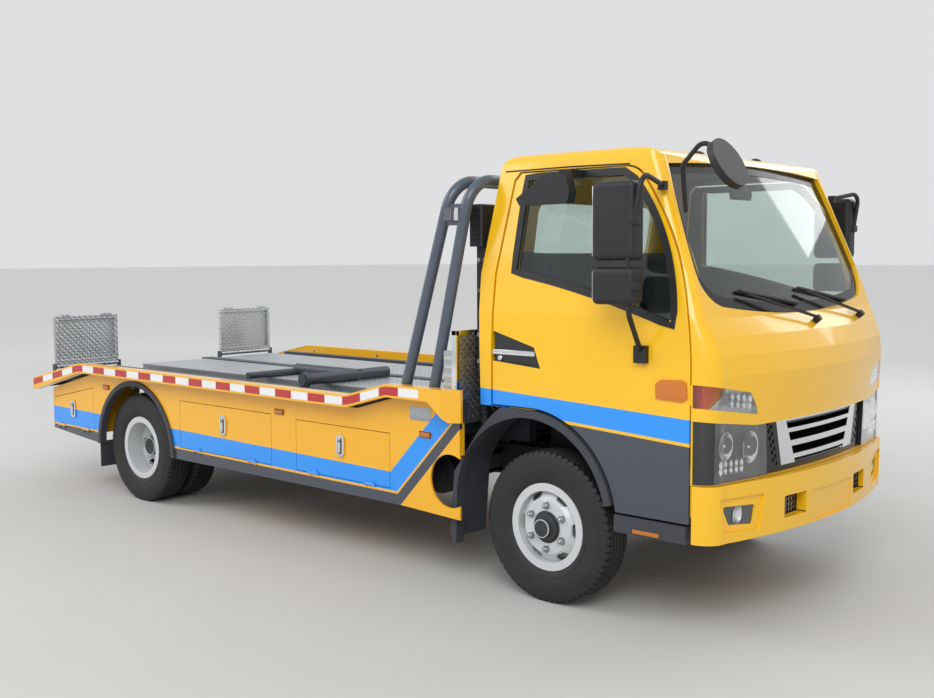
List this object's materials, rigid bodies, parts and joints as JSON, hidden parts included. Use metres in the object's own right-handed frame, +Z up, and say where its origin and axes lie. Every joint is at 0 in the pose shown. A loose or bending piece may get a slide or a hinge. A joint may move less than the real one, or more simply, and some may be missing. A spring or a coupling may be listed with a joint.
{
  "type": "flatbed tow truck",
  "caption": "Forward-control flatbed tow truck: its deck tilts and slides back, with folding ramps at the tail, hoops behind the cab and lockers along both sides.",
  "frame": {"origin": "on the ground in the middle of the truck, midway between its nose and its tail", "axes": "+X towards the nose, +Y towards the truck's left side, +Z up"},
  "size_m": [5.9948, 2.368, 2.264],
  "materials": {
    "cab_yellow": "gloss",
    "body_yellow": "gloss",
    "deck_grey": "satin",
    "hoop_grey": "satin",
    "chassis_black": "satin",
    "axle_black": "matt",
    "black_plastic": "matt",
    "trim_plastic": "matt",
    "grille_chrome": "polished",
    "lamp_clear": "clear",
    "lamp_red": "clear",
    "window_glass": "clear",
    "tyre_rubber": "matt",
    "rim_silver": "satin",
    "seat_cloth": "woven",
    "dash_plastic": "grained",
    "tread_aluminium": "chequered",
    "engine_iron": "rough",
    "cylinder_steel": "ground",
    "exhaust_steel": "dull",
    "tank_grey": "satin",
    "winch_red": "satin"
  },
  "bodies": {
    "chassis": {"chassis_frame": "chassis_black", "cab_shell": "cab_yellow", "cab_glass": "window_glass", "grille": "grille_chrome", "front_bumper": "cab_yellow", "front_lamps": "lamp_clear", "dashboard": "dash_plastic", "steering_wheel": "dash_plastic", "seats": "seat_cloth", "wipers": "black_plastic", "front_mirror": "black_plastic", "front_mudguards": "trim_plastic", "leaf_springs": "chassis_black", "front_axle": "axle_black", "rear_axle": "axle_black", "engine": "engine_iron", "exhaust": "exhaust_steel", "fuel_and_air_tanks": "tank_grey", "air_cleaner": "black_plastic", "side_body_right": "body_yellow", "side_body_left": "body_yellow", "rear_mudguards": "trim_plastic", "rear_bumper": "chassis_black", "tail_lamps": "lamp_red"},
    "door_right": {"door_right": "cab_yellow", "door_glass_right": "window_glass", "mirror_right": "black_plastic"},
    "door_left": {"door_left": "cab_yellow", "door_glass_left": "window_glass", "mirror_left": "black_plastic"},
    "knuckle_right": {"knuckle_right": "axle_black"},
    "knuckle_left": {"knuckle_left": "axle_black"},
    "wheel_front_right": {"tyre_front_right": "tyre_rubber", "rim_front_right": "rim_silver"},
    "wheel_front_left": {"tyre_front_left": "tyre_rubber", "rim_front_left": "rim_silver"},
    "wheels_rear_right": {"tyres_rear_right": "tyre_rubber", "rims_rear_right": "rim_silver"},
    "wheels_rear_left": {"tyres_rear_left": "tyre_rubber", "rims_rear_left": "rim_silver"},
    "tilt_frame": {"tilt_frame": "deck_grey"},
    "deck": {"deck_frame": "deck_grey", "deck_rails": "body_yellow", "tread_plates": "tread_aluminium", "cab_guard": "hoop_grey", "headboard": "hoop_grey", "work_lamps": "lamp_clear", "winch": "winch_red", "stowed_wheel_lift": "chassis_black"},
    "tilt_barrels": {"tilt_barrels": "cylinder_steel"},
    "tilt_rods": {"tilt_rods": "cylinder_steel"},
    "ramp_right": {"ramp_right": "tread_aluminium"},
    "ramp_left": {"ramp_left": "tread_aluminium"},
    "locker_door_rear_right": {"locker_door_rear_right": "body_yellow"},
    "locker_door_rear_left": {"locker_door_rear_left": "body_yellow"},
    "locker_door_middle_right": {"locker_door_middle_right": "body_yellow"},
    "locker_door_middle_left": {"locker_door_middle_left": "body_yellow"},
    "locker_door_front_right": {"locker_door_front_right": "body_yellow"},
    "locker_door_front_left": {"locker_door_front_left": "body_yellow"}
  },
  "joints": [
    {"name": "door_right_swing", "type": "hinge", "parent": "chassis", "child": "door_right", "pos_m": [2.758, -0.965, 1.2], "axis": [0, 0, 1], "range_deg": [0, 70]},
    {"name": "steer_right", "type": "hinge", "parent": "chassis", "child": "knuckle_right", "pos_m": [1.92, -0.715, 0.384], "axis": [0, 0, 1], "range_deg": [-35, 35]},
    {"name": "wheel_front_right_spin", "type": "hinge", "parent": "knuckle_right", "child": "wheel_front_right", "pos_m": [1.92, -0.855, 0.384], "axis": [0, 1, 0], "continuous": true},
    {"name": "wheels_rear_right_spin", "type": "hinge", "parent": "chassis", "child": "wheels_rear_right", "pos_m": [-1.73, -0.7785, 0.384], "axis": [0, 1, 0], "continuous": true},
    {"name": "ramp_right_fold", "type": "hinge", "parent": "deck", "child": "ramp_right", "pos_m": [-2.8075, -0.765, 0.905], "axis": [0, -1, 0], "range_deg": [0, 105]},
    {"name": "door_left_swing", "type": "hinge", "parent": "chassis", "child": "door_left", "pos_m": [2.758, 0.965, 1.2], "axis": [0, 0, -1], "range_deg": [0, 70]},
    {"name": "steer_left", "type": "hinge", "parent": "chassis", "child": "knuckle_left", "pos_m": [1.92, 0.715, 0.384], "axis": [0, 0, 1], "range_deg": [-35, 35]},
    {"name": "wheel_front_left_spin", "type": "hinge", "parent": "knuckle_left", "child": "wheel_front_left", "pos_m": [1.92, 0.855, 0.384], "axis": [0, 1, 0], "continuous": true},
    {"name": "wheels_rear_left_spin", "type": "hinge", "parent": "chassis", "child": "wheels_rear_left", "pos_m": [-1.73, 0.7785, 0.384], "axis": [0, 1, 0], "continuous": true},
    {"name": "ramp_left_fold", "type": "hinge", "parent": "deck", "child": "ramp_left", "pos_m": [-2.8075, 0.765, 0.905], "axis": [0, -1, 0], "range_deg": [0, 105]},
    {"name": "deck_tilt", "type": "hinge", "parent": "chassis", "child": "tilt_frame", "pos_m": [-2.6005, 0, 0.62], "axis": [0, -1, 0], "range_deg": [0, 12]},
    {"name": "deck_slide", "type": "slide", "parent": "tilt_frame", "child": "deck", "axis": [-1, 0, 0], "range_m": [0, 2.9]},
    {"name": "tilt_barrel_swing", "type": "hinge", "parent": "chassis", "child": "tilt_barrels", "pos_m": [-1.08, 0, 0.505], "axis": [0, -1, 0], "range_deg": [0, 25.62]},
    {"name": "tilt_rod_extend", "type": "slide", "parent": "tilt_barrels", "child": "tilt_rods", "axis": [0.9837, 0, 0.1798], "range_m": [0, 0.1481]},
    {"name": "locker_rear_right_lid", "type": "hinge", "parent": "chassis", "child": "locker_door_rear_right", "pos_m": [-2.55625, -1.0355, 0.456], "axis": [1, 0, 0], "range_deg": [0, 90]},
    {"name": "locker_rear_left_lid", "type": "hinge", "parent": "chassis", "child": "locker_door_rear_left", "pos_m": [-2.55625, 1.0355, 0.456], "axis": [-1, 0, 0], "range_deg": [0, 90]},
    {"name": "locker_middle_right_lid", "type": "hinge", "parent": "chassis", "child": "locker_door_middle_right", "pos_m": [-0.645, -1.0355, 0.46], "axis": [1, 0, 0], "range_deg": [0, 90]},
    {"name": "locker_middle_left_lid", "type": "hinge", "parent": "chassis", "child": "locker_door_middle_left", "pos_m": [-0.645, 1.0355, 0.46], "axis": [-1, 0, 0], "range_deg": [0, 90]},
    {"name": "locker_front_right_lid", "type": "hinge", "parent": "chassis", "child": "locker_door_front_right", "pos_m": [0.4925, -1.0355, 0.46], "axis": [1, 0, 0], "range_deg": [0, 90]},
    {"name": "locker_front_left_lid", "type": "hinge", "parent": "chassis", "child": "locker_door_front_left", "pos_m": [0.4925, 1.0355, 0.46], "axis": [-1, 0, 0], "range_deg": [0, 90]}
  ],
  "couplings": [
    {"joint": "steer_left", "follows": "steer_right", "ratio": 1},
    {"joint": "tilt_barrel_swing", "follows": "deck_tilt", "ratio": 2.135},
    {"joint": "tilt_rod_extend", "follows": "deck_tilt", "m_per_rad": 0.7071}
  ]
}
